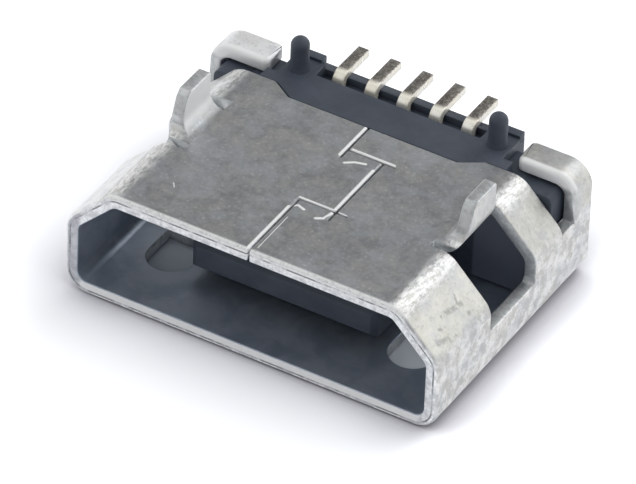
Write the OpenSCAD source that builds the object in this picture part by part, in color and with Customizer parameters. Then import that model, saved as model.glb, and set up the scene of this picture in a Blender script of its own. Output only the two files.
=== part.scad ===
// Five-contact micro socket for a circuit board, lying on its wide face.
// X runs across the mouth, Y runs in from the mouth, Z runs up to the face that meets the board.
// The nodes are drawn with the mouth at Y 0, then moved so that their middle lies above the origin.

/* [Mouth] */
// Clear width of the mouth
mouth_w = 6.90; // [6.70:0.05:7.10]
// Clear height of the mouth
mouth_h = 1.85; // [1.80:0.01:1.95]

/* [Shell sheet] */
// Thickness of the shell's sheet
sheet_t = 0.25; // [0.22:0.01:0.28]
// Outer width of the board face, to the virtual corners of its bends
board_face_w = 5.70; // [5.60:0.05:5.80]
// Outer height of the side walls, to the virtual corners of their upper bends
side_wall_h = 1.50; // [1.45:0.01:1.55]
// Outer radius of the two bends beside the wide face
wide_bend_r = 0.44; // [0.40:0.01:0.60]
// Outer radius of the bends at both ends of the slopes
slope_bend_r = 0.45; // [0.40:0.01:0.48]
// Length of the side walls and of the wide face
wall_len = 5.30; // [5.25:0.01:5.35]
// Length of the slopes and of the board face beside its notch
slope_len = 4.33; // [4.25:0.01:4.40]

/* [Notch in the board face] */
// Depth of the notch in the rear edge of the board face
notch_d = 0.26; // [0.15:0.01:0.35]
// Width of the notch at its mouth
notch_w = 4.20; // [4.00:0.05:4.40]
// Width of the notch at its floor
notch_floor_w = 3.40; // [3.20:0.05:3.60]

/* [Side windows and front legs] */
// Distance from the mouth to the side windows
window_y = 1.82; // [1.70:0.01:1.90]
// Length of the side windows
window_len = 1.57; // [1.50:0.01:1.70]
// Height of the window sills above the wide face
window_sill_z = 0.98; // [0.90:0.01:1.10]
// Distance between the outer faces of the two front legs
leg_span = 5.94; // [5.85:0.01:6.00]
// Radius of the lower corners of the side windows
window_corner_r = 0.12; // [0.05:0.01:0.20]
// Radius of the hollow side of the legs' bends
leg_bend_r = 0.28; // [0.20:0.01:0.32]
// Height of the front legs above the board face
leg_h = 0.69; // [0.60:0.01:0.90]
// Width of the front legs above their roots
leg_w = 0.90; // [0.80:0.01:0.95]
// Radius of the flare at the front of the legs' roots
leg_flare_r = 0.26; // [0.20:0.01:0.30]
// Width of the front legs at the tip
leg_tip_w = 0.78; // [0.60:0.01:0.80]
// Gap between the legs' rear edges and the rear edges of the windows
leg_rear_gap = 0.25; // [0.10:0.01:0.30]
// Size of the rounded front corner of the legs' tips
leg_corner_r = 0.12; // [0.05:0.01:0.20]

/* [Rear feet] */
// Width of the rear feet along Y
foot_w = 0.58; // [0.50:0.01:0.60]
// Distance between the inner ends of the two rear feet
foot_gap_w = 5.00; // [4.98:0.01:5.10]
// Outer radius of the bend from a side wall into its foot
foot_bend_r = 0.45; // [0.35:0.01:0.50]
// Radius of the corners at the feet's inner ends
foot_corner_r = 0.12; // [0.05:0.01:0.20]
// Height of the floor of the slot between slope and foot
foot_slot_z = 1.42; // [1.30:0.01:1.50]

/* [Latch holes] */
// Distance between the centres of the two latch holes
latch_span = 4.86; // [4.70:0.02:5.00]
// Width of the latch holes
latch_w = 0.84; // [0.70:0.01:0.90]
// Distance from the mouth to the latch holes
latch_y = 1.00; // [0.90:0.01:1.20]
// Length of the latch holes
latch_len = 1.10; // [1.00:0.01:1.40]

/* [Rear locking tabs] */
// Width of the tabs folded up behind the housing
lock_w = 0.70; // [0.50:0.05:0.70]
// Distance between the centres of the locking tabs
lock_span = 5.40; // [5.40:0.02:5.44]
// Radius of the hollow side of the tabs' bends
lock_bend_r = 0.05; // [0.03:0.01:0.10]
// Width of the relief cuts beside the locking tabs
lock_relief = 0.06; // [0.04:0.01:0.08]
// Height of the tabs above the wide face
lock_h = 1.05; // [0.90:0.01:1.20]

/* [Seam] */
// Width of the open seam in the board face
seam_gap = 0.03; // [0.02:0.01:0.05]
// Distance of the straight seam from the middle, to the left
seam_x = 0.09; // [0.00:0.01:0.20]
// Reach of the seam's tab past the middle, to the right
seam_tab_x = 0.63; // [0.40:0.01:0.80]
// Distance from the mouth to the front edge of the tab
seam_front_y = 1.70; // [1.60:0.01:1.90]
// Distance from the mouth to the rear edge of the tab
seam_rear_y = 3.33; // [3.00:0.01:3.50]
// Length of the nicks that run past the seam's corners
seam_nick = 0.24; // [0.10:0.01:0.30]

/* [Housing] */
// Clearance between the housing and the shell
housing_gap = 0.02; // [0.01:0.005:0.04]
// Clearance between the housing and the edges of the notch and the feet
notch_gap = 0.05; // [0.03:0.01:0.08]
// Distance from the mouth to the wall that stops the plug
stop_y = 3.80; // [3.60:0.01:4.00]
// Distance from the mouth to the rear face of the housing's middle
housing_len = 5.44; // [5.42:0.01:5.60]
// Distance from the rear edges of the side walls in to the housing's rear face beside the middle
block_inset = 0.08; // [0.05:0.01:0.15]
// Drop of the housing's raised slab below the board face
slab_drop = 0.05; // [0.03:0.01:0.10]
// Distance from the mouth to the rear edge of the slab
slab_rear_y = 4.92; // [4.86:0.01:4.94]
// Width of the housing's middle, which rises between the feet
rear_w = 4.52; // [4.52:0.01:4.56]
// Width of the shoulders between the slopes and the feet
shoulder_w = 4.94; // [4.80:0.01:4.98]
// Length of the shoulders
shoulder_len = 0.27; // [0.20:0.01:0.29]
// Width of the trench in which the contacts rise
trench_w = 3.30; // [3.10:0.02:3.40]
// Depth of the trench behind the slab, below the board face
trench_d = 0.30; // [0.20:0.01:0.40]
// Thickness of the housing's rear wall
rear_wall_t = 0.17; // [0.12:0.01:0.20]
// Width of the raised lugs behind the pegs
lug_w = 0.52; // [0.40:0.01:0.60]

/* [Tongue] */
// Width of the tongue
tongue_w = 3.70; // [3.50:0.05:3.80]
// Thickness of the tongue
tongue_t = 0.60; // [0.55:0.01:0.65]
// Height of the tongue's lower face above the wide face
tongue_z = 0.47; // [0.45:0.01:0.55]
// Distance from the mouth to the tip of the tongue
tongue_y = 1.10; // [0.90:0.01:1.30]
// Size of the bevels around the tongue's tip
tongue_bevel = 0.10; // [0.05:0.01:0.15]

/* [Pegs] */
// Distance between the centres of the locating pegs
peg_span = 3.98; // [3.90:0.01:4.00]
// Diameter of the locating pegs
peg_d = 0.34; // [0.30:0.01:0.38]
// Diameter of the pegs' tapered roots
peg_root_d = 0.40; // [0.38:0.01:0.44]
// Height of the pegs' roots above the board face
peg_root_h = 0.06; // [0.06:0.01:0.10]
// Distance from the mouth to the pegs
peg_y = 4.94; // [4.92:0.005:4.95]
// Height of the pegs above the board face
peg_h = 0.62; // [0.50:0.01:0.80]

/* [Contacts] */
// Distance between the contacts
contact_pitch = 0.65; // [0.60:0.01:0.68]
// Width of the contacts
contact_w = 0.22; // [0.18:0.01:0.25]
// Thickness of the contacts
contact_t = 0.15; // [0.12:0.01:0.18]
// Outer radius of the contacts' bends
contact_bend_r = 0.22; // [0.20:0.01:0.26]
// Distance from the mouth to the front face of the contacts' risers
riser_y = 5.06; // [5.04:0.01:5.08]
// Distance from the mouth to the ends of the solder tails
tail_end_y = 6.00; // [5.80:0.01:6.20]
// Distance from the tongue's tip to the tips of the outer contacts
outer_tip_gap = 0.15; // [0.12:0.01:0.30]
// Extra distance to the tips of the three inner contacts
inner_tip_step = 0.30; // [0.20:0.01:0.40]

/* [Hidden] */
$fn = 48;
eps = 0.01;
contact_count = 5;

// The sheet's outer size follows the mouth
shell_w = mouth_w + 2 * sheet_t;
shell_h = mouth_h + 2 * sheet_t;
half_w = shell_w / 2;
half_face = board_face_w / 2;

// Corners of the outer outline in XZ, and the outer radius of the bend at each
outline = [
    [-half_w, 0], [half_w, 0], [half_w, side_wall_h],
    [half_face, shell_h], [-half_face, shell_h], [-half_w, side_wall_h]
];
bends = [wide_bend_r, wide_bend_r, slope_bend_r, slope_bend_r, slope_bend_r, slope_bend_r];

window_end_y = window_y + window_len;
leg_rear_y = window_end_y - leg_rear_gap;
leg_outer_x = leg_span / 2;
leg_bend_x = leg_outer_x - sheet_t - leg_bend_r;
foot_y = wall_len - foot_w;
block_end_y = wall_len - block_inset;
lock_y = block_end_y + housing_gap;
lug_y = housing_len - rear_wall_t;
notch_y = slope_len - notch_d;

// The contacts lie flush in the upper face of the tongue and end level with the board face
strip_z = tongue_z + tongue_t - contact_t;
trench_z = shell_h - trench_d;
tail_z = shell_h - contact_t;
slab_z = shell_h - slab_drop;
first_contact_x = -(contact_count - 1) / 2 * contact_pitch;

// Direction from one point to the next, one unit long
function unit(v) = v / norm(v);

// Corner i of a closed outline moved in by d on both of its edges
function inset_corner(pts, i, d) =
    let (
        n = len(pts),
        u = unit(pts[i] - pts[(i + n - 1) % n]),
        v = unit(pts[(i + 1) % n] - pts[i]),
        turn = u.x * v.y - u.y * v.x
    )
    pts[i] + d * (v - u) / turn;

function inset(pts, d) = [for (i = [0 : len(pts) - 1]) inset_corner(pts, i, d)];

// Distance from a corner to the ends of a bend of radius r
function bend_reach(pts, i, r) =
    let (
        n = len(pts),
        u = unit(pts[i] - pts[(i + n - 1) % n]),
        v = unit(pts[(i + 1) % n] - pts[i])
    )
    r * tan(acos(u * v) / 2);

// A closed convex outline whose corner i is rounded to radii[i] with a true arc, or sharp where that is 0
module rounded_outline(pts, radii) {
    n = len(pts);
    centres = [for (i = [0 : n - 1]) inset_corner(pts, i, radii[i])];
    round_corners = [for (i = [0 : n - 1]) if (radii[i] > 0) i];
    difference() {
        polygon(pts);
        for (i = round_corners) {
            reach = bend_reach(pts, i, radii[i]);
            u = unit(pts[i] - pts[(i + n - 1) % n]);
            v = unit(pts[(i + 1) % n] - pts[i]);
            polygon([pts[i], pts[i] + reach * v, centres[i], pts[i] - reach * u]);
        }
    }
    for (i = round_corners)
        translate(centres[i])
            circle(radii[i]);
}

// The outline of the shell moved in by d, as a solid from y0 to y1
module shell_solid(d, y0, y1) {
    translate([0, y1, 0])
        rotate([90, 0, 0])
            linear_extrude(y1 - y0)
                rounded_outline(inset(outline, d), [for (r = bends) r - d]);
}

// Moves a node from the mouth's plane to its place about the origin
module placed() {
    translate([0, -tail_end_y / 2, 0])
        children();
}

// The same shape on both sides of the middle plane
module both_sides() {
    children();
    mirror([1, 0, 0]) children();
}

// A profile drawn in XZ and drawn out along Y
module along_y(y0, y1) {
    translate([0, y1, 0])
        rotate([90, 0, 0])
            linear_extrude(y1 - y0)
                children();
}

// A profile drawn in YZ and drawn out along X
module along_x(x0, x1) {
    translate([x0, 0, 0])
        rotate([90, 0, 90])
            linear_extrude(x1 - x0)
                children();
}

// A box given by its two corners
module box(a, b) {
    translate(a)
        cube(b - a);
}

// A quarter of a ring in the quadrant up and to the right of its centre
module quarter_ring(inner_r, outer_r) {
    intersection() {
        difference() {
            circle(outer_r);
            circle(inner_r);
        }
        square(outer_r);
    }
}

// The notch in the rear edge of the board face, grown by g towards the mouth and the sides
module notch_plan(g) {
    polygon([
        [-notch_w / 2 - g, slope_len + 1], [-notch_w / 2 - g, slope_len],
        [-notch_floor_w / 2 - g, notch_y - g], [notch_floor_w / 2 + g, notch_y - g],
        [notch_w / 2 + g, slope_len], [notch_w / 2 + g, slope_len + 1]
    ]);
}

// The seam's cut: two straight runs, the tab between them and the nicks at its corners
module seam_plan() {
    g = seam_gap;
    translate([-seam_x, -eps])
        square([g, seam_front_y + g + eps]);
    translate([-seam_x, seam_front_y])
        square([seam_x + seam_tab_x + seam_nick, g]);
    translate([seam_tab_x, seam_front_y - seam_nick])
        square([g, seam_rear_y - seam_front_y + seam_nick + g]);
    translate([-seam_x, seam_rear_y])
        square([seam_x + seam_tab_x + seam_nick, g]);
    translate([-seam_x, seam_rear_y - seam_nick])
        square([g, notch_y - seam_rear_y + seam_nick + eps]);
}

// A side window seen from the side, open at the top and rounded at its sill
module window_outline() {
    top = shell_h + 1;
    rounded_outline(
        [[window_y, window_sill_z], [window_end_y, window_sill_z], [window_end_y, top], [window_y, top]],
        [window_corner_r, window_corner_r, 0, 0]
    );
}

// A latch hole, round at the end that faces the mouth
module latch_plan() {
    r = latch_w / 2;
    translate([0, latch_y + r])
        circle(r);
    translate([-r, latch_y + r])
        square([latch_w, latch_len - r]);
}

// The right front leg: a strip that leaves the board face and curls up to stand on end
module front_leg() {
    root_z = shell_h + leg_bend_r;
    intersection() {
        along_y(window_y, window_end_y) {
            translate([leg_bend_x, root_z])
                mirror([0, 1])
                    quarter_ring(leg_bend_r, leg_bend_r + sheet_t);
            translate([leg_bend_x + leg_bend_r, root_z])
                square([sheet_t, leg_h - leg_bend_r]);
            translate([leg_bend_x - sheet_t, shell_h - sheet_t])
                square([sheet_t, sheet_t]);
        }
        along_x(0, half_w)
            leg_side_outline();
    }
}

// The leg seen from the side: flared at its root, tapered, the front corner of its tip cut off
module leg_side_outline() {
    under_z = shell_h - sheet_t;
    top_z = shell_h + leg_h;
    tip_y = leg_rear_y - leg_tip_w;
    front_y = leg_rear_y - leg_w;
    flare_y = front_y - leg_flare_r;
    flare_z = shell_h + leg_flare_r;
    difference() {
        polygon([
            [flare_y, under_z], [leg_rear_y, under_z], [leg_rear_y, top_z],
            [tip_y + leg_corner_r, top_z], [tip_y, top_z - leg_corner_r],
            [front_y, flare_z], [flare_y, flare_z]
        ]);
        translate([flare_y, flare_z])
            circle(leg_flare_r);
    }
}

// The right rear foot: the side wall runs up past the slope's height and folds in flat
module rear_foot() {
    foot_end_x = foot_gap_w / 2;
    intersection() {
        along_y(foot_y, wall_len) {
            translate([half_w - sheet_t, side_wall_h / 2])
                square([sheet_t, shell_h - foot_bend_r - side_wall_h / 2]);
            translate([half_w - foot_bend_r, shell_h - foot_bend_r])
                quarter_ring(foot_bend_r - sheet_t, foot_bend_r);
            translate([foot_end_x, shell_h - sheet_t])
                square([half_w - foot_bend_r - foot_end_x, sheet_t]);
        }
        linear_extrude(shell_h + 1)
            foot_plan(foot_end_x);
    }
}

// The foot seen from above, with its two inner corners rounded
module foot_plan(end_x) {
    rounded_outline(
        [[end_x, foot_y], [half_w, foot_y], [half_w, wall_len], [end_x, wall_len]],
        [foot_corner_r, 0, 0, foot_corner_r]
    );
}

// One of the tabs that hold the housing from behind
module lock_tab() {
    r = lock_bend_r + sheet_t;
    box([-lock_w / 2, lock_y, r], [lock_w / 2, lock_y + sheet_t, lock_h]);
    translate([0, lock_y - lock_bend_r, r])
        along_x(-lock_w / 2, lock_w / 2)
            mirror([0, 1])
                quarter_ring(lock_bend_r, r);
}

// The part of the wide face that is cut away around a locking tab
module lock_cut() {
    half = lock_w / 2;
    y0 = lock_y - lock_bend_r;
    box([-half - lock_relief, y0, -eps], [half + lock_relief, wall_len + 1, sheet_t + eps]);
}

module shell() {
    color([0.62, 0.62, 0.60]) placed() {
        difference() {
            shell_solid(0, 0, wall_len);
            shell_solid(sheet_t, -eps, wall_len + eps);
            // Open behind the slopes, above the side walls
            box([-half_w - 1, slope_len, foot_slot_z], [half_w + 1, wall_len + 1, shell_h + 1]);
            translate([0, 0, shell_h - 2 * sheet_t])
                linear_extrude(3 * sheet_t)
                    notch_plan(0);
            both_sides()
                along_x(leg_bend_x, half_w + 1)
                    window_outline();
            both_sides()
                translate([latch_span / 2, 0, -eps])
                    linear_extrude(sheet_t + 2 * eps)
                        latch_plan();
            both_sides()
                translate([lock_span / 2, 0, 0])
                    lock_cut();
            translate([0, 0, shell_h - 2 * sheet_t])
                linear_extrude(3 * sheet_t)
                    seam_plan();
        }
        both_sides() {
            front_leg();
            rear_foot();
            translate([lock_span / 2, 0, 0])
                lock_tab();
        }
    }
}

// The space that a contact takes inside the housing, with room for the hollow of its bend
module contact_channel() {
    half = contact_w / 2;
    hollow = contact_bend_r - contact_t;
    riser_end_y = riser_y + contact_t;
    box([-half, riser_y, strip_z], [half, riser_end_y, shell_h]);
    box([-half, tongue_y + outer_tip_gap, strip_z], [half, riser_end_y, strip_z + contact_t]);
    box([-half, riser_y - hollow, strip_z], [half, riser_end_y, strip_z + contact_bend_r]);
}

// The tongue, bevelled at its tip
module tongue() {
    z0 = tongue_z;
    z1 = tongue_z + tongue_t;
    b = tongue_bevel;
    intersection() {
        along_x(-tongue_w / 2, tongue_w / 2)
            polygon([
                [tongue_y, z0 + b], [tongue_y + b, z0], [stop_y + eps, z0],
                [stop_y + eps, z1], [tongue_y + b, z1], [tongue_y, z1 - b]
            ]);
        linear_extrude(shell_h)
            polygon([
                [-tongue_w / 2, tongue_y + b], [-tongue_w / 2 + b, tongue_y], [tongue_w / 2 - b, tongue_y],
                [tongue_w / 2, tongue_y + b], [tongue_w / 2, stop_y + 1], [-tongue_w / 2, stop_y + 1]
            ]);
    }
}

// The locating peg: a straight pin with a round end on a tapered root
module peg() {
    r = peg_d / 2;
    root_z = shell_h + peg_root_h;
    top_z = shell_h + peg_h - r;
    translate([0, 0, slab_z - eps])
        cylinder(r1 = peg_root_d / 2, r2 = r, h = root_z - slab_z + eps);
    translate([0, 0, root_z])
        cylinder(r = r, h = top_z - root_z);
    translate([0, 0, top_z])
        sphere(r);
}

// The rear end of the block, which fills the space under the feet
module rear_block() {
    d = sheet_t + notch_gap;
    side_x = half_w - d;
    top_z = shell_h - d;
    along_y(slope_len + notch_gap, block_end_y)
        rounded_outline(
            [[-side_x, d], [side_x, d], [side_x, top_z], [-side_x, top_z]],
            [wide_bend_r - d, wide_bend_r - d, foot_bend_r - d, foot_bend_r - d]
        );
}

// Half of the rear part that rises between the feet, seen from above
module rear_half_plan() {
    y0 = slope_len + notch_gap;
    polygon([
        [0, notch_y + notch_gap], [notch_floor_w / 2, notch_y + notch_gap], [notch_w / 2, y0],
        [shoulder_w / 2, y0], [shoulder_w / 2, y0 + shoulder_len], [rear_w / 2, y0 + shoulder_len],
        [rear_w / 2, housing_len], [0, housing_len]
    ]);
}

module housing() {
    d = sheet_t + housing_gap;
    shoulder_z = shell_h / 2 - eps;
    color([0.16, 0.18, 0.22]) placed() {
        difference() {
            union() {
                // The block that fills the shell behind the mated plug
                shell_solid(d, stop_y, block_end_y);
                rear_block();
                both_sides()
                    translate([0, 0, shoulder_z])
                        linear_extrude(slab_z - shoulder_z)
                            rear_half_plan();
                box([-rear_w / 2, block_end_y - eps, d], [rear_w / 2, housing_len, shell_h / 2]);
                tongue();
            }
            // The trench behind the slab, in front of the rear wall
            box([-trench_w / 2, slab_rear_y, trench_z], [trench_w / 2, lug_y, shell_h + 1]);
            // The rear wall stays below the solder tails
            box([-rear_w / 2 - 1, lug_y - eps, tail_z], [rear_w / 2 + 1, housing_len + 1, shell_h + 1]);
            for (i = [0 : contact_count - 1])
                translate([first_contact_x + i * contact_pitch, 0, 0])
                    contact_channel();
        }
        both_sides()
            translate([peg_span / 2, 0, 0]) {
                translate([0, peg_y, 0])
                    peg();
                box([-lug_w / 2, lug_y, trench_z], [lug_w / 2, housing_len, shell_h]);
            }
    }
}

// One contact: a strip along the tongue, a riser behind the block and a solder tail
module contact(i) {
    tip_gap = outer_tip_gap + (i == 0 || i == contact_count - 1 ? 0 : inner_tip_step);
    tip_y = tongue_y + tip_gap;
    r = contact_bend_r;
    t = contact_t;
    color([0.86, 0.78, 0.58]) placed()
        translate([first_contact_x + i * contact_pitch, 0, 0])
            along_x(-contact_w / 2, contact_w / 2) {
                polygon([
                    [tip_y, strip_z], [riser_y + t - r, strip_z], [riser_y + t - r, strip_z + t],
                    [tip_y + t / 2, strip_z + t], [tip_y, strip_z + t / 2]
                ]);
                translate([riser_y + t - r, strip_z + r])
                    mirror([0, 1])
                        quarter_ring(r - t, r);
                translate([riser_y, strip_z + r])
                    square([t, shell_h - strip_z - 2 * r]);
                translate([riser_y + r, shell_h - r])
                    mirror([1, 0])
                        quarter_ring(r - t, r);
                translate([riser_y + r, tail_z])
                    square([tail_end_y - riser_y - r, t]);
            }
}

module contact_1() {
    contact(0);
}

module contact_2() {
    contact(1);
}

module contact_3() {
    contact(2);
}

module contact_4() {
    contact(3);
}

module contact_5() {
    contact(4);
}

shell();
housing();
contact_1();
contact_2();
contact_3();
contact_4();
contact_5();
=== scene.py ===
"""Dresses a packed micro connector socket: its folded shell, its housing, its contacts and the stage."""

import math

import bmesh
import bpy
from mathutils import Matrix, Vector
from mathutils.bvhtree import BVHTree


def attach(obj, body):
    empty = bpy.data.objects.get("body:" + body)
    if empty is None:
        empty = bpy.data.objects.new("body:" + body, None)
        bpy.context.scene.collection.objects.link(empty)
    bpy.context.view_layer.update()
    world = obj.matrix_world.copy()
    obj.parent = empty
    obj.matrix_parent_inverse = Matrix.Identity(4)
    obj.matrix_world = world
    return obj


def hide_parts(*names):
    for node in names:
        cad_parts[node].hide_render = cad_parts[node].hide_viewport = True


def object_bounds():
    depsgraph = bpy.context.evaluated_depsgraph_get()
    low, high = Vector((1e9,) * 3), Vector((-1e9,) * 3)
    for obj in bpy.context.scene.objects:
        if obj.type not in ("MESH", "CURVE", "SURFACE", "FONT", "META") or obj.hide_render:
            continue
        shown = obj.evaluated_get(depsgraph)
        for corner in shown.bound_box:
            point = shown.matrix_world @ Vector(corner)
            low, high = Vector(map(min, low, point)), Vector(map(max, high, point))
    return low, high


bl_info = {
    "name": "Micro connector socket",
    "version": (1, 0, 0),
    "blender": (4, 5, 0),
    "location": "3D View > Sidebar > Socket",
    "description": "Rounds the cut edges of a micro connector socket, finishes it and sets its stage",
    "category": "Object",
}

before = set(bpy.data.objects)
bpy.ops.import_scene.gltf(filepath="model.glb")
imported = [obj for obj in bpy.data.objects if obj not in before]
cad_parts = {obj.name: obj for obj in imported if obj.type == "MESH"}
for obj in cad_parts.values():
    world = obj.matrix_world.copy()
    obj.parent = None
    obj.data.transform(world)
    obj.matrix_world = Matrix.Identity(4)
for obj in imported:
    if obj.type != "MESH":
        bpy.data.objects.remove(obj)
CAD_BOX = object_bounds()

MM = 0.001
MOUTH_Y = CAD_BOX[0].y
BOARD_FACE_Z = 2.35 * MM
SHEET_THICKNESS = 0.25 * MM
FOOT_FRONT_Y = MOUTH_Y + 4.72 * MM
BODY = "root"


# Shader building

class Value:
    """A shader socket that takes part in Python expressions."""

    def __init__(self, graph, socket):
        self.graph = graph
        self.socket = socket

    def __add__(self, other):
        return self.graph.math("ADD", self, other)

    def __radd__(self, other):
        return self.graph.math("ADD", other, self)

    def __sub__(self, other):
        return self.graph.math("SUBTRACT", self, other)

    def __rsub__(self, other):
        return self.graph.math("SUBTRACT", other, self)

    def __mul__(self, other):
        return self.graph.math("MULTIPLY", self, other)

    def __abs__(self):
        return self.graph.math("ABSOLUTE", self)

    def lower(self, other):
        return self.graph.math("MINIMUM", self, other)

    def higher(self, other):
        return self.graph.math("MAXIMUM", self, other)


class Graph:
    """Adds nodes to one node tree."""

    def __init__(self, tree):
        self.tree = tree
        tree.nodes.clear()

    def add(self, kind, settings=None, inputs=None, stops=None):
        """Adds a node: first its settings and its ramp's stops, then the values or links of its sockets."""
        node = self.tree.nodes.new(kind)
        for key, setting in (settings or {}).items():
            setattr(node, key, setting)
        if stops:
            ramp = node.color_ramp
            while len(ramp.elements) < len(stops):
                ramp.elements.new(1.0)
            for element, (place, colour) in zip(ramp.elements, stops):
                element.position = place
                element.color = (*colour, 1.0) if len(colour) == 3 else colour
        for key, given in (inputs or {}).items():
            if isinstance(given, Value):
                self.tree.links.new(given.socket, node.inputs[key])
            else:
                node.inputs[key].default_value = given
        return node

    def out(self, node, key=0):
        return Value(self, node.outputs[key])

    def math(self, operation, *terms, clamp=False):
        settings = {"operation": operation, "use_clamp": clamp}
        return self.out(self.add("ShaderNodeMath", settings, dict(enumerate(terms))))

    def vector_math(self, operation, *terms):
        node = self.add("ShaderNodeVectorMath", {"operation": operation}, dict(enumerate(terms)))
        lengths = ("LENGTH", "DISTANCE", "DOT_PRODUCT")
        return self.out(node, "Value" if operation in lengths else "Vector")

    def scaled(self, vector, scale):
        """A vector in millimetres stretched by a scale along each axis."""
        return self.vector_math("MULTIPLY", vector, scale)

    def split(self, vector):
        node = self.add("ShaderNodeSeparateXYZ", inputs={0: vector})
        return [self.out(node, k) for k in range(3)]

    def step(self, value, low, high, to_low=0.0, to_high=1.0):
        """A smooth step from to_low at low to to_high at high."""
        settings = {"interpolation_type": "SMOOTHSTEP", "clamp": True}
        inputs = {"Value": value, "From Min": low, "From Max": high, "To Min": to_low, "To Max": to_high}
        if low > high:
            inputs.update({"From Min": high, "From Max": low, "To Min": to_high, "To Max": to_low})
        return self.out(self.add("ShaderNodeMapRange", settings, inputs))

    def noise(self, vector, scale, detail=3.0, roughness=0.5, distortion=0.0):
        inputs = {"Vector": vector, "Scale": scale, "Detail": detail}
        inputs.update({"Roughness": roughness, "Distortion": distortion})
        return self.out(self.add("ShaderNodeTexNoise", inputs=inputs), "Fac")

    def mix(self, share, first, second):
        """A colour that goes from first to second."""
        def colour(c):
            return (*c, 1.0) if isinstance(c, tuple) and len(c) == 3 else c
        inputs = {0: share, 6: colour(first), 7: colour(second)}
        return self.out(self.add("ShaderNodeMix", {"data_type": "RGBA"}, inputs), 2)

    def segment_distance(self, x, y, start, end):
        """The distance in the XY plane, in millimetres, from a straight mark."""
        ax, ay = start
        dx, dy = end[0] - ax, end[1] - ay
        square = dx * dx + dy * dy
        along = self.math("MULTIPLY", (x - ax) * dx + (y - ay) * dy, 1.0 / square, clamp=True)
        gap_x = x - (along * dx + ax)
        gap_y = y - (along * dy + ay)
        return self.math("SQRT", gap_x * gap_x + gap_y * gap_y)


def object_millimetres(graph):
    """Object coordinates in millimetres, with Y measured in from the mouth."""
    source = graph.out(graph.add("ShaderNodeTexCoord"), "Object")
    inputs = {"Vector": source, "Location": (0.0, -MOUTH_Y / MM, 0.0), "Scale": (1.0 / MM,) * 3}
    return graph.out(graph.add("ShaderNodeMapping", {"vector_type": "POINT"}, inputs))


def finish_material(graph, base, roughness, metallic, bump, bump_mm):
    """Ends a material: the shader, its bump and its output."""
    inputs = {"Base Color": base, "Roughness": roughness, "Metallic": metallic}
    shader = graph.add("ShaderNodeBsdfPrincipled", inputs=inputs)
    settings = {"Strength": 1.0, "Distance": bump_mm * MM, "Height": bump}
    relief = graph.add("ShaderNodeBump", inputs=settings)
    graph.tree.links.new(relief.outputs[0], shader.inputs["Normal"])
    output = graph.add("ShaderNodeOutputMaterial")
    graph.tree.links.new(shader.outputs[0], output.inputs["Surface"])


def new_material(name):
    material = bpy.data.materials.new(name)
    material.use_nodes = True
    return material, Graph(material.node_tree)


# Bright marks on the board face along the seam: rubbed where its lips were pressed together, and a painted
# highlight where its rounded edges catch light:
# start and end in millimetres from the middle and from the mouth, and half width
RUBBED_AND_HIGHLIGHT_MARKS = [
    ((-0.120, -0.02), (-0.115, 1.42), 0.030),
    ((-0.115, 1.42), (0.01, 1.53), 0.026),
    ((0.01, 1.53), (0.15, 1.48), 0.028),
    ((0.03, 0.15), (0.02, 1.15), 0.008),
    ((-0.09, 1.752), (0.60, 1.750), 0.017),
    ((0.68, 1.745), (0.84, 1.740), 0.010),
    ((0.600, 1.66), (0.595, 3.06), 0.029),
    ((0.600, 1.66), (0.55, 1.45), 0.026),
    ((0.55, 1.45), (0.44, 1.38), 0.034),
    ((0.00, 3.385), (0.84, 3.383), 0.023),
    ((-0.118, 3.14), (-0.115, 4.06), 0.030),
    ((0.07, 2.98), (0.22, 3.09), 0.030),
    ((0.22, 3.09), (0.40, 3.14), 0.030),
    ((-2.10, 0.90), (-2.03, 0.80), 0.010),
]
# How far a mark fades out, as a share of its half width
MARK_EDGE = 1.3

# The painted shade line along the left bend, and scuffs on the right slope and beside the right leg
LEFT_FOLD_SHADE_LINE = [((-2.97, 0.05), (-2.99, 1.78), 0.035)]
SCUFFS = [
    ((3.50, 0.28), (3.58, 0.62), 0.05),
    ((3.55, 0.62), (3.60, 0.80), 0.04),
    ((3.52, 1.30), (3.58, 1.50), 0.04),
    ((3.40, 0.50), (3.44, 0.66), 0.03),
    ((3.30, 0.74), (3.38, 1.30), 0.05),
    ((3.24, 1.28), (3.42, 1.18), 0.03),
    ((2.26, 2.30), (2.40, 2.55), 0.05),
]

# Tones of the plating: painted highlights and sheen, painted shade, and where it is soiled, scuffed, rubbed
# or shorn
PAINTED_HIGHLIGHT_WHITE = (0.97, 0.97, 0.97)
WARM_PAINTED_SHEEN = (0.86, 0.85, 0.77)
GRIME = (0.30, 0.30, 0.31)
GLINTS = (0.86, 0.86, 0.84)
FOLD_SHADE = (0.26, 0.26, 0.28)
BURNISHED_AND_HIGHLIGHT = (0.98, 0.98, 0.96)
LEG_HIGHLIGHT_WHITE = (0.99, 0.99, 0.98)
SCUFFED = (0.24, 0.24, 0.24)
RUBBED_HIGHLIGHT_WHITE = (0.98, 0.98, 0.97)
DULL_CUT = (0.40, 0.42, 0.41)
LEFT_RIM_SHADE = (0.30, 0.30, 0.35)
SHORN_WHITE_HIGHLIGHT = (1.0, 1.0, 1.0)
PAINTED_SHADE_LINE = (0.06, 0.06, 0.07)

# Tones of the glass fibres in the plastic, of its lit cheeks in the windows, and of the specks on the tails
FIBRES = (0.12, 0.13, 0.15)
LIT_CHEEKS = (0.14, 0.155, 0.20)
TAIL_SPECKS = (0.54, 0.50, 0.45)


def streaks(graph, x, y, lines, soft=0.5):
    """1 on straight marks seen from above, 0 beside them; soft is the share of their width that is full."""
    marks = None
    for start, end, half in lines:
        mark = graph.step(graph.segment_distance(x, y, start, end), half * MARK_EDGE, half * soft)
        marks = mark if marks is None else marks.higher(mark)
    return marks


# The right half of the shell's outer outline drawn in by the radius of its bends, in X and Z
OUTLINE_RADIUS = 0.45
OUTLINE_CORE = [(0.0, 0.45), (3.25, 0.45), (3.25, 1.314), (2.664, 1.90), (0.0, 1.90)]


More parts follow.
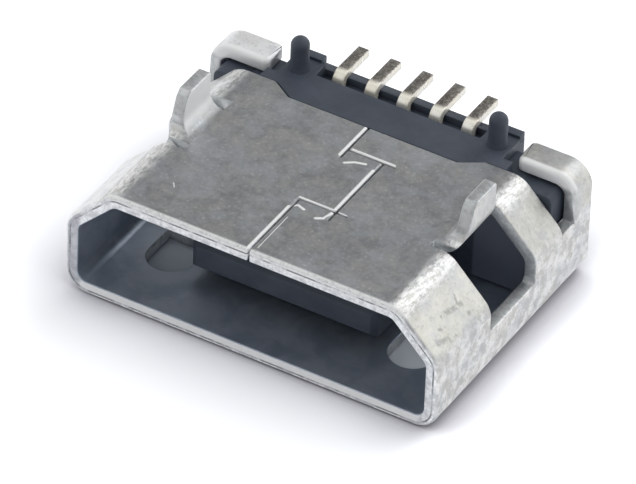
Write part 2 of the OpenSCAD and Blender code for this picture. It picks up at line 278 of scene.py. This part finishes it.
def depth_in_sheet(graph, x, z):
    """How deep a point of the shell's cross-section lies under its outer surface, in millimetres."""
    side = abs(x)
    nearest = None
    for start, end in zip(OUTLINE_CORE, OUTLINE_CORE[1:]):
        reach = graph.segment_distance(side, z, start, end)
        nearest = reach if nearest is None else nearest.lower(reach)
    return OUTLINE_RADIUS - nearest


def foot_band_highlight(graph, side, y, z):
    """1 on the upper front band of the two rear feet, where a highlight is painted."""
    across = graph.step(side, 2.30, 2.42) * graph.step(z, 2.02, 2.14)
    return across * graph.step(y, 4.60, 4.64) * graph.step(y, 4.86, 4.79)


def sheet_zones(g, x, y, z, blots):
    """Where the shell's board face, bends, legs and left foot are, and the faces whitened with a painted
    highlight, each from 0 to 1.
    """
    side = abs(x)
    plate = g.step(z, 2.25, 2.33) * g.step(side, 2.86, 2.60) * g.step(y, 4.5, 4.4)
    bends = g.step(side, 2.56, 2.76) * g.step(side, 3.12, 2.92) * g.step(z, 1.95, 2.15)
    bends = bends * g.step(y, 4.5, 4.3) * g.step(z, 2.40, 2.36)
    legs = g.step(z, 2.38, 2.55) * g.step(y, 4.4, 4.2)
    left_foot = g.step(x, -2.3, -2.5) * g.step(y, 4.55, 4.65)
    # Painted highlight and reflection: the side walls, the left leg, the left foot and the left slope are
    # whitened
    walls = g.step(side, 3.50, 3.68) * g.step(z, 1.75, 1.35) * g.step(blots, 0.44, 0.58, 0.10, 0.58)
    left_slope = g.step(x, -3.02, -3.10) * g.step(y, 2.0, 1.7)
    bright = left_foot.higher(walls).higher(legs * g.step(x, 0.0, -0.5, 0.5, 0.95))
    return plate, bends, legs, left_foot, bright.higher(left_slope * 0.8)


def sheet_material(look):
    """Satin plating on stamped sheet: stained on the board face and darker there as painted shade, drawn at
    the bends and brighter there as a painted highlight.
    """
    material, g = new_material("plated_sheet")
    place = object_millimetres(g)
    x, y, z = g.split(place)
    side = abs(x)
    stains = g.noise(place, 1.1, 5.0, 0.68, 0.3)
    blots = g.noise(place, 4.0, 6.0, 0.75)
    grain = g.noise(place, 15.0, 4.0, 0.75)
    pores = g.noise(place, 34.0, 2.0, 0.6)
    drawn = g.noise(g.scaled(place, (15.0, 6.0, 15.0)), 1.0, 6.0, 0.75)
    tint = g.noise(place, 2.3, 2.0, 0.5)
    clouds = stains * 0.45 + blots * 0.55
    plate, bends, legs, left_foot, bright = sheet_zones(g, x, y, z, blots)

    tone = g.mix(g.step(clouds, 0.38, 0.62), tuple(look.sheet_dark), tuple(look.sheet_light))
    # The board face takes a darker tone than the rest of the sheet: its stains are real, its darker level is
    # painted shade
    board_face_shaded_tone = g.mix(g.step(clouds, 0.36, 0.64), tuple(look.plate_stain_shade_dark), tuple(look.plate_shaded_light))
    base = g.mix(plate, tone, board_face_shaded_tone)
    # Painted highlight: the side walls, the left leg, the left foot and the left slope are whitened
    base = g.mix(bright, base, PAINTED_HIGHLIGHT_WHITE)
    # Painted sheen: the right slope is lightened and warmed, most towards the mouth
    right_slope_sheen = g.step(side, 3.02, 3.14) * g.step(z, 1.50, 1.62) * g.step(x, 0.0, 0.5)
    right_slope_sheen = right_slope_sheen * g.step(y, 2.2, 1.6, 0.35, 1.0)
    base = g.mix(right_slope_sheen * 0.45, base, WARM_PAINTED_SHEEN)
    base = g.mix(g.step(tint, 0.50, 0.62) * 0.30, base, tuple(look.sheet_cool))
    base = g.mix(g.step(tint, 0.46, 0.36) * 0.22, base, tuple(look.sheet_warm))
    base = g.mix(g.step(grain, 0.52, 0.72) * 0.45, base, GRIME)
    base = g.mix(g.step(grain, 0.46, 0.28) * 0.40, base, GLINTS)
    # Painted shade in the crease of the left bend
    fold_shade_line = streaks(g, x, y, LEFT_FOLD_SHADE_LINE, 0.3) * g.step(blots, 0.40, 0.50)
    base = g.mix(fold_shade_line * 0.7, base, FOLD_SHADE)
    # Drawn streaks at the bends, whitened further as a painted highlight
    base = g.mix(bends * g.step(drawn, 0.40, 0.58) * 0.9, base, BURNISHED_AND_HIGHLIGHT)
    # Painted highlight: the left leg is whitened
    base = g.mix(legs * g.step(x, 0.0, -0.5) * 0.8, base, LEG_HIGHLIGHT_WHITE)
    scuffs = streaks(g, x, y, SCUFFS, 0.2) * g.step(blots, 0.44, 0.56)
    base = g.mix(scuffs * 0.55, base, SCUFFED)
    # Painted highlight along the rounded top edge of the mouth
    mouth_edge_highlight = g.step(y, 0.095, 0.045) * g.step(z, 2.18, 2.26) * g.step(grain, 0.34, 0.50, 0.35, 0.85)
    # Painted highlights on the seam, partly rubbed metal, on the feet's front bands and on the mouth's top
    # edge
    marks = streaks(g, x, y, RUBBED_AND_HIGHLIGHT_MARKS) * plate
    marks = marks.higher(foot_band_highlight(g, side, y, z)).higher(mouth_edge_highlight)
    base = g.mix(marks, base, RUBBED_HIGHLIGHT_WHITE)

    roughness = (0.34 + clouds * 0.14 + grain * 0.10) * (1.0 - bends * 0.28)
    relief = grain * 0.6 + pores * 0.25 + blots * 0.5 + drawn * bends * 1.7
    metallic = 1.0 - marks * 0.85 - bends * 0.25 - legs * 0.8 - left_foot * 0.45
    finish_material(g, base, roughness, g.math("MAXIMUM", metallic, 0.1), relief, bump_mm=0.007)
    return material


def inner_material(look):
    """The smoother inner face of the sheet, in a lifted bluish tone that is painted fill light."""
    material, g = new_material("inner_plating")
    place = object_millimetres(g)
    stains = g.noise(place, 1.4, 4.0, 0.6, 0.4)
    scratches = g.noise(g.scaled(place, (22.0, 1.5, 22.0)), 1.0, 3.0, 0.6)
    base = g.mix(g.step(stains, 0.35, 0.65), tuple(look.inner_painted_fill_dark), tuple(look.inner_painted_fill_light))
    roughness = 0.34 + stains * 0.14 + scratches * 0.06
    finish_material(g, base, roughness, 0.75 + stains * 0.1, scratches, bump_mm=0.002)
    return material


def sheared_material(look):
    """The cut edge of stamped sheet: torn bright metal, with painted highlights on the mouth's lips and the
    feet's fronts, painted shade on the left rim, and a painted shade line near the mouth's outer edge.
    """
    material, g = new_material("sheared_edge")
    place = object_millimetres(g)
    torn = g.noise(g.scaled(place, (9.0, 14.0, 9.0)), 1.0, 5.0, 0.7)
    patches = g.noise(place, 3.2, 4.0, 0.6)
    x, y, z = g.split(place)
    front = g.step(y, 0.16, 0.12)
    depth = depth_in_sheet(g, x, z)
    # Painted shade: a dark line where the mouth's rounding meets the cut face
    line = front * g.step(abs(depth - look.rim_round / MM - 0.012), 0.022, 0.006)
    # Painted highlights on the burnished lower lip of the mouth, the feet's front bands and the rounded top
    # edge, partly burnished metal
    lower_lip_highlight = front * g.step(z, 0.27, 0.25) * g.step(depth, 0.10, 0.12) * g.step(abs(x), 3.42, 3.30)
    upper_round_highlight = front * g.step(z, 2.18, 2.24) * g.step(torn, 0.36, 0.52, 0.25, 0.75)
    white = lower_lip_highlight.higher(foot_band_highlight(g, abs(x), y, z)).higher(upper_round_highlight)
    shorn = g.step(torn * 0.6 + patches * 0.4, 0.40, 0.60)
    base = g.mix(shorn, tuple(look.edge_dark), tuple(look.edge_light))
    base = g.mix(g.step(y, 0.3, 0.5) * 0.5, base, DULL_CUT)
    # Painted shade on the left part of the mouth's rim
    base = g.mix(front * g.step(x, -3.36, -3.46) * 0.55, base, LEFT_RIM_SHADE)
    base = g.mix(white * 0.95, base, SHORN_WHITE_HIGHLIGHT)
    base = g.mix(line * g.step(patches, 0.40, 0.58, 0.15, 0.85), base, PAINTED_SHADE_LINE)
    roughness = 0.30 + patches * 0.14 + torn * 0.06
    relief = torn * 0.5 + patches
    finish_material(g, base, roughness, 0.8 - white * 0.7, relief, bump_mm=0.005)
    return material


def moulding_material(look):
    """Dark glass-filled plastic with a fine eroded grain, lighter on the faces seen through the windows."""
    material, g = new_material("dark_moulding")
    place = object_millimetres(g)
    cloud = g.noise(place, 1.6, 4.0, 0.6)
    grain = g.noise(place, 45.0, 3.0, 0.6)
    fibres = g.noise(g.scaled(place, (5.0, 32.0, 32.0)), 1.0, 2.0, 0.5)
    base = g.mix(g.step(cloud, 0.3, 0.75), tuple(look.dark), tuple(look.light))
    base = g.mix(g.step(fibres, 0.66, 0.8) * 0.25, base, FIBRES)
    x, y, z = g.split(place)
    cheeks = g.step(abs(x), 2.20, 2.26) * g.step(z, 2.19, 2.15) * g.step(y, 4.36, 4.28)
    base = g.mix(cheeks, base, LIT_CHEEKS)
    roughness = 0.40 + cloud * 0.12 + grain * 0.08
    finish_material(g, base, roughness, 0.0, grain, bump_mm=0.004)
    return material


def contact_material(look):
    """Thin pale gold plating, bright at the bends, and speckled and darker on the tails' flat tops, where the
    darkness is painted shade.
    """
    material, g = new_material("contact_plating")
    place = object_millimetres(g)
    y, z = g.split(place)[1:]
    cloud = g.noise(place, 2.6, 4.0, 0.6)
    speckle = g.noise(place, 22.0, 3.0, 0.7)
    lines = g.noise(g.scaled(place, (40.0, 3.0, 3.0)), 1.0, 3.0, 0.6)
    base = g.mix(g.step(cloud, 0.3, 0.75), tuple(look.dark), tuple(look.light))
    # The tails' flat tops are darkened as painted shade, with real specks
    tops = g.step(z, 2.335, 2.347) * g.step(y, 5.24, 5.34)
    dull = g.mix(g.step(speckle, 0.40, 0.62), tuple(look.dull), TAIL_SPECKS)
    base = g.mix(tops * 0.9, base, dull)
    roughness = 0.20 + cloud * 0.14
    relief = lines + cloud + speckle * tops
    finish_material(g, base, roughness, 0.5 + tops * 0.5, relief, bump_mm=0.003)
    return material


# Mesh building

# The shell's material slots
OUTER, CUT, INNER = range(3)

# Distances under which points of a CAD mesh are merged
MERGE = 0.004 * MM
FINE_MERGE = 0.002 * MM

# Triangles that turn less than the first angle make one face; edges that turn more than the second are
# rounded
FLAT_ANGLE = math.radians(0.6)
SHARP_ANGLE = math.radians(28.0)
BEVEL_SEGMENTS = 3


def cad_copy(node, merge):
    """A merged copy of a CAD node's mesh."""
    bm = bmesh.new()
    bm.from_mesh(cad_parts[node].data)
    bmesh.ops.remove_doubles(bm, verts=bm.verts, dist=merge)
    bmesh.ops.dissolve_degenerate(bm, edges=bm.edges, dist=merge)
    return bm


def whole_faces(bm):
    """Joins the flat triangles of a mesh into whole faces."""
    bmesh.ops.dissolve_limit(
        bm, angle_limit=FLAT_ANGLE, verts=bm.verts, edges=bm.edges, delimit={"MATERIAL"},
    )
    bm.normal_update()


def sort_sheet_faces(bm):
    """Tells the cut faces of folded sheet from its outer and inner faces by the metal's depth behind them."""
    just_inside = 0.001 * MM
    thickest = 1.3 * SHEET_THICKNESS
    tree = BVHTree.FromBMesh(bm)
    axis = Vector((0.0, 0.0, BOARD_FACE_Z / 2))
    for face in bm.faces:
        centre = face.calc_center_median()
        start = centre - face.normal * just_inside
        depth = tree.ray_cast(start, -face.normal)[3]
        outward = centre - axis
        outward.y = 0.0
        if depth is None or depth > thickest:
            face.material_index = CUT
        elif face.normal.dot(outward) < 0.0 and centre.z < BOARD_FACE_Z:
            face.material_index = INNER
        else:
            face.material_index = OUTER


def mark_rounding(bm, rounding, widest):
    """Writes on each convex sharp edge its rounding, as a share of the widest; concave ones stay sharp."""
    weights = bm.edges.layers.float.new("bevel_weight_edge")
    for edge in bm.edges:
        if len(edge.link_faces) != 2 or edge.calc_face_angle() <= SHARP_ANGLE:
            continue
        if edge.is_convex:
            edge[weights] = rounding(edge) / widest
        else:
            edge.smooth = False


def new_piece(name, bm, node, slot, widest, *materials):
    """Makes an object of a bmesh, in place of a CAD node, and rounds its marked edges."""
    mesh = bpy.data.meshes.new(name)
    bm.to_mesh(mesh)
    bm.free()
    for polygon in mesh.polygons:
        polygon.use_smooth = True
    for material in materials:
        mesh.materials.append(material)
    piece = bpy.data.objects.new(name, mesh)
    bpy.context.scene.collection.objects.link(piece)
    rounding = piece.modifiers.new("rounded_edges", "BEVEL")
    rounding.limit_method = "WEIGHT"
    rounding.width = widest
    rounding.segments = BEVEL_SEGMENTS
    rounding.use_clamp_overlap = False
    rounding.miter_outer = "MITER_ARC"
    shading = piece.modifiers.new("flat_faces", "WEIGHTED_NORMAL")
    shading.keep_sharp = True
    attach(piece, BODY)
    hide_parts(node)


# Settings

class ShellLook(bpy.types.PropertyGroup):
    edge_round: bpy.props.FloatProperty(
        name="Edge rounding", description="Rounding of the sheet's cut edges",
        default=0.03 * MM, unit="LENGTH",
    )
    seam_round: bpy.props.FloatProperty(
        name="Seam rounding", description="Rounding of the seam's upper edges",
        default=0.04 * MM, unit="LENGTH",
    )
    foot_round: bpy.props.FloatProperty(
        name="Foot rounding", description="Rounding of the feet's front edges",
        default=0.09 * MM, unit="LENGTH",
    )
    rim_round: bpy.props.FloatProperty(
        name="Rim rounding", description="Rounding of the mouth's outer edge",
        default=0.08 * MM, unit="LENGTH",
    )
    sheet_dark: bpy.props.FloatVectorProperty(
        name="Plating, dark", description="Darker tone of the plating",
        default=(0.50, 0.50, 0.48), subtype="COLOR",
    )
    sheet_light: bpy.props.FloatVectorProperty(
        name="Plating, light", description="Lighter tone of the plating",
        default=(0.68, 0.67, 0.64), subtype="COLOR",
    )
    # The board face's tones: stains, and a darker level that is painted shade
    plate_stain_shade_dark: bpy.props.FloatVectorProperty(
        name="Board face, dark", description="Stains on the board face",
        default=(0.315, 0.32, 0.328), subtype="COLOR",
    )
    plate_shaded_light: bpy.props.FloatVectorProperty(
        name="Board face, light", description="Plain tone of the board face",
        default=(0.455, 0.46, 0.462), subtype="COLOR",
    )
    sheet_cool: bpy.props.FloatVectorProperty(
        name="Plating, cool", description="Bluish stains in the plating",
        default=(0.50, 0.53, 0.58), subtype="COLOR",
    )
    sheet_warm: bpy.props.FloatVectorProperty(
        name="Plating, warm", description="Yellowish stains in the plating",
        default=(0.56, 0.55, 0.49), subtype="COLOR",
    )
    # The inner face's tones are lifted and bluish: painted fill light in the shade inside
    inner_painted_fill_dark: bpy.props.FloatVectorProperty(
        name="Inner face, dark", description="Darker tone inside",
        default=(0.36, 0.41, 0.49), subtype="COLOR",
    )
    inner_painted_fill_light: bpy.props.FloatVectorProperty(
        name="Inner face, light", description="Lighter tone inside",
        default=(0.51, 0.56, 0.63), subtype="COLOR",
    )
    edge_dark: bpy.props.FloatVectorProperty(
        name="Cut edge, dark", description="Torn part of the cut edges",
        default=(0.60, 0.61, 0.63), subtype="COLOR",
    )
    edge_light: bpy.props.FloatVectorProperty(
        name="Cut edge, light", description="Bright part of the cut edges",
        default=(0.97, 0.98, 0.99), subtype="COLOR",
    )


class HousingLook(bpy.types.PropertyGroup):
    edge_round: bpy.props.FloatProperty(
        name="Edge rounding", description="Rounding of the moulding's edges",
        default=0.02 * MM, unit="LENGTH",
    )
    ledge_round: bpy.props.FloatProperty(
        name="Ledge rounding", description="Rounding on top of the rear wall",
        default=0.003 * MM, unit="LENGTH",
    )
    dark: bpy.props.FloatVectorProperty(
        name="Plastic, dark", description="Darker tone of the plastic",
        default=(0.043, 0.054, 0.076), subtype="COLOR",
    )
    light: bpy.props.FloatVectorProperty(
        name="Plastic, light", description="Lighter tone of the plastic",
        default=(0.065, 0.079, 0.107), subtype="COLOR",
    )


class ContactLook(bpy.types.PropertyGroup):
    edge_round: bpy.props.FloatProperty(
        name="Edge rounding", description="Rounding of the contacts' edges",
        default=0.015 * MM, unit="LENGTH",
    )
    dark: bpy.props.FloatVectorProperty(
        name="Plating, dark", description="Darker tone of the plating",
        default=(0.92, 0.87, 0.74), subtype="COLOR",
    )
    # The tails' tops: a darker tone that is painted shade
    dull: bpy.props.FloatVectorProperty(
        name="Tail tops", description="Dull tone on the tails' flat tops",
        default=(0.225, 0.205, 0.185), subtype="COLOR",
    )
    light: bpy.props.FloatVectorProperty(
        name="Plating, light", description="Lighter tone of the plating",
        default=(1.0, 0.98, 0.91), subtype="COLOR",
    )


class StageLook(bpy.types.PropertyGroup):
    floor_size: bpy.props.FloatProperty(
        name="Floor size", description="Length of the floor's sides",
        default=1.2, unit="LENGTH",
    )
    floor_tone: bpy.props.FloatVectorProperty(
        name="Floor tone", description="Colour of the floor",
        default=(0.88, 0.88, 0.90), subtype="COLOR",
    )
    floor_lift: bpy.props.FloatProperty(
        name="Floor lift", description="How much brighter the floor looks to the camera",
        default=1.75, subtype="FACTOR",
    )
    # Painted light on the floor beside the right wall
    painted_side_light: bpy.props.FloatProperty(
        name="Side lift", description="How much brighter the floor is beside the right wall",
        default=1.48, subtype="FACTOR",
    )
    floor_shine: bpy.props.FloatProperty(
        name="Floor shine", description="How much brighter the floor looks in reflections",
        default=1.4, subtype="FACTOR",
    )
    shadow_tone: bpy.props.FloatVectorProperty(
        name="Shadow tone", description="Colour of the floor where the part meets it",
        default=(0.26, 0.25, 0.30), subtype="COLOR",
    )
    contact_reach: bpy.props.FloatProperty(
        name="Shadow reach", description="How far the soft shadow reaches over the floor",
        default=1.8 * MM, unit="LENGTH",
    )
    contact_depth: bpy.props.FloatProperty(
        name="Shadow depth", description="How fast the soft shadow darkens towards the part",
        default=1.5, subtype="FACTOR",
    )
    # A painted shadow on the floor below the part
    under_shadow_tone: bpy.props.FloatVectorProperty(
        name="Tone below", description="Colour of the floor below the part",
        default=(0.52, 0.56, 0.61), subtype="COLOR",
    )
    view_distance: bpy.props.FloatProperty(
        name="Camera distance", description="Distance from the camera to its target",
        default=135.32 * MM, unit="LENGTH",
    )


# Operators

def place_of(point):
    """A point's place in millimetres, with X from the middle to either side and Y from the mouth."""
    return abs(point.x) / MM, (point.y - MOUTH_Y) / MM, point.z / MM


def shell_rounding(look):
    """How wide each kind of the shell's edges is rounded."""
    front_reach = 0.13 * MM

    def width(edge):
        x, y, z = place_of((edge.verts[0].co + edge.verts[1].co) / 2)
        outer = all(face.material_index != INNER for face in edge.link_faces)
        at_foot_front = all(abs(v.co.y - FOOT_FRONT_Y) < front_reach for v in edge.verts)
        if outer and at_foot_front and x > 2.4 and z > 1.2:
            return look.foot_round
        if outer and y < 0.01:
            return look.rim_round if x > 0.2 or z < 1.0 else look.seam_round
        if x < 1.0 and 0.05 < y < 4.2 and z > 2.3:
            return look.seam_round
        return look.edge_round
    return width


class SOCKET_OT_shell(bpy.types.Operator):
    """Round the shell's cut edges and give it its plating"""

    bl_idname = "socket.shell"
    bl_label = "Folded shell"

    def execute(self, context):
        look = context.scene.socket_shell
        bm = cad_copy("shell", MERGE)
        sort_sheet_faces(bm)
        whole_faces(bm)
        mark_rounding(bm, shell_rounding(look), look.foot_round)
        materials = sheet_material(look), sheared_material(look), inner_material(look)
        new_piece("folded_shell", bm, "shell", "shell", look.foot_round, *materials)
        return {"FINISHED"}


def housing_rounding(look):
    """How wide the housing's edges are rounded: least on the narrow ledges that close the rear wall's top."""
    def width(edge):
        ends = [place_of(v.co) for v in edge.verts]
        return look.ledge_round if all(y > 5.2 and z > 2.1 for _, y, z in ends) else look.edge_round
    return width


class SOCKET_OT_housing(bpy.types.Operator):
    """Round the housing's edges and give it its plastic"""

    bl_idname = "socket.housing"
    bl_label = "Moulded housing"

    def execute(self, context):
        look = context.scene.socket_housing
        bm = cad_copy("housing", MERGE)
        whole_faces(bm)
        mark_rounding(bm, housing_rounding(look), look.edge_round)
        new_piece("moulded_housing", bm, "housing", "housing", look.edge_round, moulding_material(look))
        return {"FINISHED"}


class SOCKET_OT_contacts(bpy.types.Operator):
    """Round the contacts' edges and give them their plating"""

    bl_idname = "socket.contacts"
    bl_label = "Contacts"

    def execute(self, context):
        look = context.scene.socket_contacts
        plating = contact_material(look)
        for node in sorted(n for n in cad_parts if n.startswith("contact_")):
            bm = cad_copy(node, FINE_MERGE)
            whole_faces(bm)
            mark_rounding(bm, lambda edge: look.edge_round, look.edge_round)
            new_piece("bent_" + node, bm, node, "contacts", look.edge_round, plating)
        return {"FINISHED"}


class SOCKET_OT_stage(bpy.types.Operator):
    """Set the floor, the light and the camera"""

    bl_idname = "socket.stage"
    bl_label = "Stage"

    def execute(self, context):
        look = context.scene.socket_stage
        make_floor(look)
        light_world(context.scene)
        place_camera(context.scene, look)
        return {"FINISHED"}


# The floor lies this far under the part; below the part it takes a painted shadow tone, lighter under the
# part's right half as painted light
FLOOR_DROP = 0.01 * MM
RIGHT_UNDER_PAINTED_LIGHT = (0.86, 0.90, 0.94)


def make_floor(look):
    """A white floor that shows white to the camera and keeps the object's shadow, deepened near the part by a
    painted soft shadow, with a painted shadow tone below the part and painted light beside the right wall.
    """
    bm = bmesh.new()
    bmesh.ops.create_grid(bm, x_segments=1, y_segments=1, size=look.floor_size / 2)
    bmesh.ops.translate(bm, verts=bm.verts, vec=(0.0, 0.0, -FLOOR_DROP))
    mesh = bpy.data.meshes.new("floor")
    bm.to_mesh(mesh)
    bm.free()
    material, g = new_material("floor")
    x, y = g.split(object_millimetres(g))[:2]
    # Painted shadow below the part, lighter under its right half
    below = g.step(abs(x), 3.5, 3.3) * g.step(y, 0.05, 0.25) * g.step(y, 5.25, 5.05)
    under = g.mix(g.step(x, 0.0, 2.0), tuple(look.under_shadow_tone), RIGHT_UNDER_PAINTED_LIGHT)
    # Painted light: the floor beside the right wall is lifted
    beside = g.step(x, 3.3, 4.3)
    # Painted soft shadow: the floor darkens towards the shadow tone where ambient occlusion finds the part
    # near
    near = g.add("ShaderNodeAmbientOcclusion", {"samples": 16}, {"Distance": look.contact_reach})
    open_air = g.math("POWER", g.out(near, "AO"), look.contact_depth)
    path = g.add("ShaderNodeLightPath")
    tones = []
    plain = 1.0, 1.0, 1.0
    reflected = look.floor_shine, 1.0, 1.0
    to_camera = look.floor_lift, look.painted_side_light, open_air
    for lift, painted_side_light, shade in plain, reflected, to_camera:
        lifted = tuple(tone * lift for tone in look.floor_tone)
        lit = tuple(tone * painted_side_light for tone in lifted)
        colour = g.mix(shade, tuple(look.shadow_tone), g.mix(beside, lifted, lit))
        colour = g.mix(below, colour, under)
        tones.append(g.out(g.add("ShaderNodeBsdfDiffuse", inputs={"Color": colour})))
    glossy_ray, camera_ray = g.out(path, "Is Glossy Ray"), g.out(path, "Is Camera Ray")
    glossy = g.add("ShaderNodeMixShader", inputs={0: glossy_ray, 1: tones[0], 2: tones[1]})
    seen = g.add("ShaderNodeMixShader", inputs={0: camera_ray, 1: g.out(glossy), 2: tones[2]})
    g.add("ShaderNodeOutputMaterial", inputs={"Surface": g.out(seen)})
    mesh.materials.append(material)
    floor = bpy.data.objects.new("floor", mesh)
    bpy.context.scene.collection.objects.link(floor)


# Each soft light or dark flag of the studio: its direction, the cosines where it starts and is full, and
# its strength
SOFT_LIGHTS = [
    ((0.20, 0.70, 0.69), 0.90, 0.97, 1.10),
    ((-0.38, -0.62, 0.68), 0.88, 0.97, 0.60),
    ((0.0, -1.0, 0.15), 0.0, 0.70, -0.62),
    ((-0.40, 0.685, 0.61), 0.86, 0.96, -0.75),
]
STUDIO_LEVEL = 0.98
STUDIO_TONE = (0.98, 0.99, 1.0, 1.0)
WHITE = (1.0, 1.0, 1.0, 1.0)


def light_world(scene):
    """An even studio with two soft lights and two dark flags in it, white to the camera."""
    world = bpy.data.worlds.new("studio")
    world.use_nodes = True
    scene.world = world
    g = Graph(world.node_tree)
    direction = g.out(g.add("ShaderNodeTexCoord"), "Generated")
    level = STUDIO_LEVEL
    for towards, start, full, strength in SOFT_LIGHTS:
        cosine = g.vector_math("DOT_PRODUCT", direction, tuple(Vector(towards).normalized()))
        level = level + g.step(cosine, start, full) * strength
    camera_ray = g.out(g.add("ShaderNodeLightPath"), "Is Camera Ray")
    around = g.add("ShaderNodeBackground", inputs={"Color": STUDIO_TONE, "Strength": level})
    behind = g.add("ShaderNodeBackground", inputs={"Color": WHITE, "Strength": 1.0})
    seen = g.add("ShaderNodeMixShader", inputs={0: camera_ray, 1: g.out(around), 2: g.out(behind)})
    g.add("ShaderNodeOutputWorld", inputs={"Surface": g.out(seen)})
    scene.view_settings.view_transform = "Standard"


# The camera as the photograph was taken: turn, height and roll in degrees, target in metres, and lens in
# millimetres
CAMERA_TURN = 29.061
CAMERA_HEIGHT = 38.39
CAMERA_ROLL = 2.457
CAMERA_TARGET = Vector((2.765, -5.683, 5.544)) * MM
CAMERA_LENS = 468.02


def place_camera(scene, look):
    """Looks down on the mouth, the board face and the right side."""
    turn, height, roll = (math.radians(v) for v in (CAMERA_TURN, CAMERA_HEIGHT, CAMERA_ROLL))
    back = Vector((math.sin(turn) * math.cos(height), -math.cos(turn) * math.cos(height), math.sin(height)))
    right = Vector((0.0, 0.0, 1.0)).cross(back).normalized()
    up = back.cross(right)
    rolled_right = math.cos(roll) * right + math.sin(roll) * up
    rolled_up = math.cos(roll) * up - math.sin(roll) * right
    data = bpy.data.cameras.new("camera")
    data.sensor_width = 36.0
    data.lens = CAMERA_LENS
    data.clip_start = 1.0 * MM
    data.clip_end = 10.0
    camera = bpy.data.objects.new("camera", data)
    scene.collection.objects.link(camera)
    turned = Matrix((rolled_right, rolled_up, back)).transposed().to_4x4()
    camera.matrix_world = Matrix.Translation(CAMERA_TARGET + back * look.view_distance) @ turned
    scene.camera = camera


class SOCKET_PT_panel(bpy.types.Panel):
    bl_idname = "SOCKET_PT_panel"
    bl_label = "Micro connector socket"
    bl_space_type = "VIEW_3D"
    bl_region_type = "UI"
    bl_category = "Socket"

    def draw(self, context):
        for group, operator in GROUPS:
            box = self.layout.box()
            box.operator(operator.bl_idname)
            settings = getattr(context.scene, group)
            for key in settings.__annotations__:
                box.prop(settings, key)


GROUPS = [
    ("socket_shell", SOCKET_OT_shell),
    ("socket_housing", SOCKET_OT_housing),
    ("socket_contacts", SOCKET_OT_contacts),
    ("socket_stage", SOCKET_OT_stage),
]
LOOKS = {
    "socket_shell": ShellLook,
    "socket_housing": HousingLook,
    "socket_contacts": ContactLook,
    "socket_stage": StageLook,
}
CLASSES = [*LOOKS.values(), *(operator for _, operator in GROUPS), SOCKET_PT_panel]


def register():
    for cls in CLASSES:
        bpy.utils.register_class(cls)
    for group, look in LOOKS.items():
        setattr(bpy.types.Scene, group, bpy.props.PointerProperty(type=look))


def unregister():
    for group in LOOKS:
        delattr(bpy.types.Scene, group)
    for cls in reversed(CLASSES):
        bpy.utils.unregister_class(cls)


def main():
    register()
    bpy.ops.socket.shell()
    bpy.ops.socket.housing()
    bpy.ops.socket.contacts()
    bpy.ops.socket.stage()


if __name__ == "__main__":
    main()
